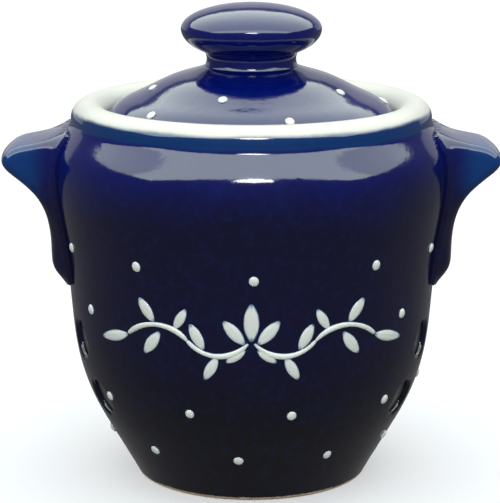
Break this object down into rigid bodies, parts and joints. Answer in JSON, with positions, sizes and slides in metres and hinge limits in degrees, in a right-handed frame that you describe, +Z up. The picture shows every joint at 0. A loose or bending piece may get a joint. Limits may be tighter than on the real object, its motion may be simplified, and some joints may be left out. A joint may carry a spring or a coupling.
{
  "type": "garlic keeper",
  "caption": "Lidded stoneware garlic keeper: round-bellied vented pot with side lug handles and an inset domed lid with a knob.",
  "frame": {"origin": "middle of the foot ring, on the surface the pot stands on", "axes": "+Z up, +X towards the right-hand handle, -Y towards the decorated front"},
  "size_m": [0.1546, 0.1234, 0.148],
  "materials": {
    "blue_glaze": "gloss",
    "cream_slip": "gloss"
  },
  "bodies": {
    "pot": {"pot_body": "blue_glaze", "left_handle": "blue_glaze", "right_handle": "blue_glaze", "pot_slip_dots": "cream_slip", "slip_ornament": "cream_slip"},
    "lid": {"lid": "blue_glaze", "lid_knob": "blue_glaze", "lid_slip_dots": "cream_slip"}
  },
  "joints": [
    {"name": "lid_lift", "type": "slide", "parent": "pot", "child": "lid", "axis": [0, 0, 1], "range_m": [0, 0.06]}
  ]
}
